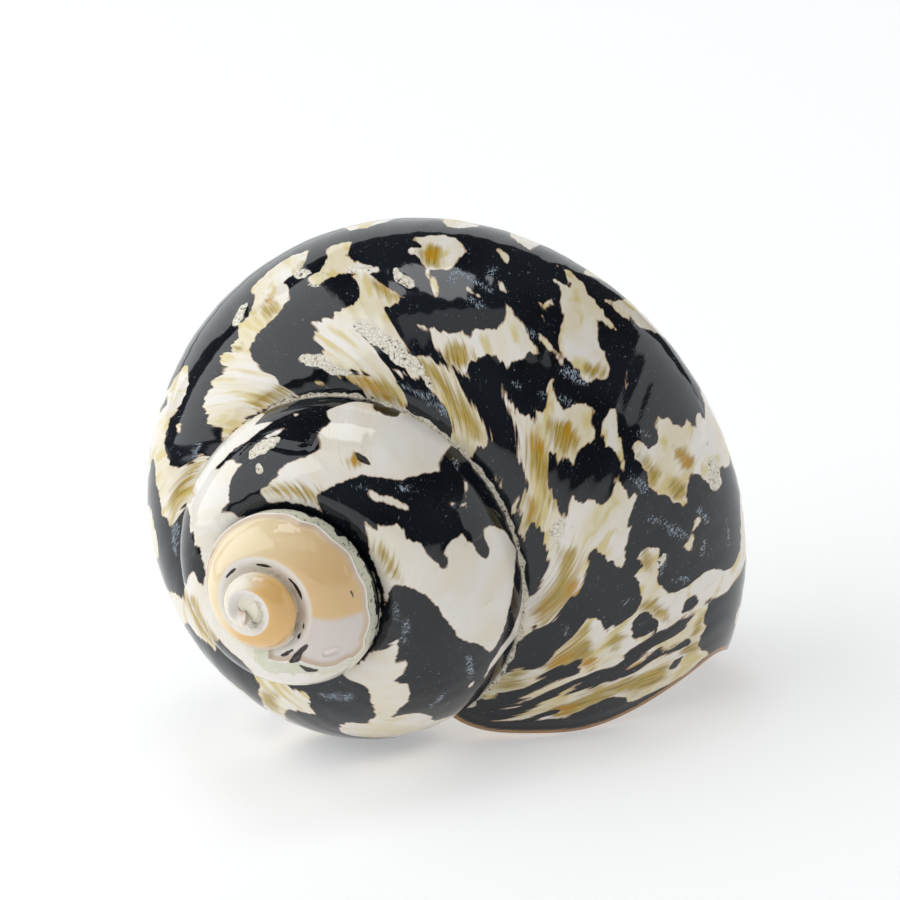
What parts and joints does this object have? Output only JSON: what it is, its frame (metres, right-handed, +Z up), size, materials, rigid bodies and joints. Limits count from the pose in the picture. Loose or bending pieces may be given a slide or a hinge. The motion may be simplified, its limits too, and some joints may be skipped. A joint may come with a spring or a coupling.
{
  "type": "turban shell",
  "caption": "Hollow, right-handed, top-shaped sea snail shell with rounded whorls, a low worn spire and an open mouth, lying on its side.",
  "frame": {"origin": "centre of the bottom of the bounding box, on the surface that the shell lies on", "axes": "+Z up from that surface, +Y away from the viewer of the picture, +X to the viewer's right"},
  "size_m": [0.077, 0.0604, 0.0656],
  "materials": {
    "polished_shell": "polished, near black with ivory flames"
  },
  "bodies": {
    "root": {"turban_shell": "polished_shell"}
  },
  "joints": []
}
